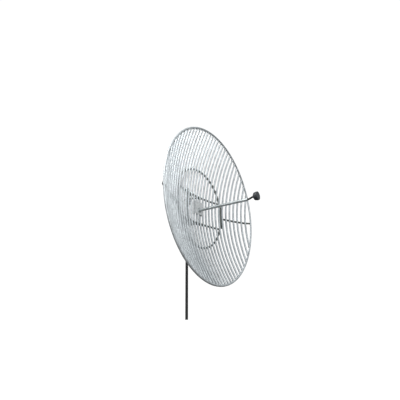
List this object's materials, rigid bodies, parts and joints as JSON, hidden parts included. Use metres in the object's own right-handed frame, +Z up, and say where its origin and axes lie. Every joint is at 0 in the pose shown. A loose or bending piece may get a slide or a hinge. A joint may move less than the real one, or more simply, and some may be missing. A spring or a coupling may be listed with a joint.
{
  "type": "parabolic grid antenna",
  "caption": "Round parabolic grid reflector of parallel tubes with a boom-mounted feed, on a tilting and turning clamp mount on a stub mast.",
  "frame": {"origin": "centre of the mast's flat foot", "axes": "+Z up along the mast, the reflector faces -Y, and the side stay is on the -X side"},
  "size_m": [2.4, 1.2773, 2.82],
  "materials": {
    "grid_metal": "dull light grey drawn tube",
    "frame_metal": "weathered mid grey tube",
    "hub_metal": "light grey folded sheet",
    "boom_metal": "satin light grey tube",
    "neck_metal": "dark painted bent tube",
    "feed_plastic": "near-black moulded plastic",
    "feed_cover": "dark grey moulded cover",
    "connector": "plated brass",
    "mast_paint": "charcoal painted steel tube",
    "cap_plastic": "black moulded cap",
    "saddle_iron": "dark galvanised casting",
    "stay_metal": "weathered galvanised rod",
    "strap_metal": "weathered galvanised flat bar",
    "fastener": "galvanised threaded bar"
  },
  "bodies": {
    "mast_body": {"mast": "mast_paint", "mast_cap": "cap_plastic"},
    "mount_head": {"upper_saddle": "saddle_iron", "lower_saddle": "saddle_iron", "upper_u_bolt_1": "fastener", "upper_u_bolt_2": "fastener", "lower_u_bolt_1": "fastener", "lower_u_bolt_2": "fastener", "pivot_bolt": "fastener", "lock_bolt": "fastener"},
    "reflector": {"grid_tube_01": "grid_metal", "grid_tube_02": "grid_metal", "grid_tube_03": "grid_metal", "grid_tube_04": "grid_metal", "grid_tube_05": "grid_metal", "grid_tube_06": "grid_metal", "grid_tube_07": "grid_metal", "grid_tube_08": "grid_metal", "grid_tube_09": "grid_metal", "grid_tube_10": "grid_metal", "grid_tube_11": "grid_metal", "grid_tube_12": "grid_metal", "grid_tube_13": "grid_metal", "grid_tube_14": "grid_metal", "grid_tube_15": "grid_metal", "grid_tube_16": "grid_metal", "grid_tube_17": "grid_metal", "grid_tube_18": "grid_metal", "grid_tube_19": "grid_metal", "grid_tube_20": "grid_metal", "grid_tube_21": "grid_metal", "grid_tube_22": "grid_metal", "grid_tube_23": "grid_metal", "grid_tube_24": "grid_metal", "grid_tube_25": "grid_metal", "grid_tube_26": "grid_metal", "grid_tube_27": "grid_metal", "grid_tube_28": "grid_metal", "grid_tube_29": "grid_metal", "rim": "frame_metal", "inner_ring": "frame_metal", "upper_chord": "frame_metal", "lower_chord": "frame_metal", "left_side_bar": "frame_metal", "right_side_bar": "frame_metal", "left_rib": "frame_metal", "right_rib": "frame_metal", "hub_bracket": "hub_metal", "feed_boom": "boom_metal", "feed_neck": "neck_metal", "coax_connector": "connector", "left_upper_strap": "strap_metal", "right_upper_strap": "strap_metal", "left_lower_strap": "strap_metal", "right_lower_strap": "strap_metal", "side_stay": "stay_metal"},
    "feed_head": {"feed_housing": "feed_plastic", "feed_cover": "feed_cover"}
  },
  "joints": [
    {"name": "azimuth", "type": "hinge", "parent": "mast_body", "child": "mount_head", "pos_m": [0, 0, 1.62], "axis": [0, 0, 1], "range_deg": [-180, 180]},
    {"name": "elevation", "type": "hinge", "parent": "mount_head", "child": "reflector", "pos_m": [0, -0.048, 1.833], "axis": [-1, 0, 0], "range_deg": [-5, 10]},
    {"name": "polarisation", "type": "hinge", "parent": "reflector", "child": "feed_head", "pos_m": [0, -1.147, 1.604], "axis": [0, -1, 0], "range_deg": [-90, 90]}
  ]
}
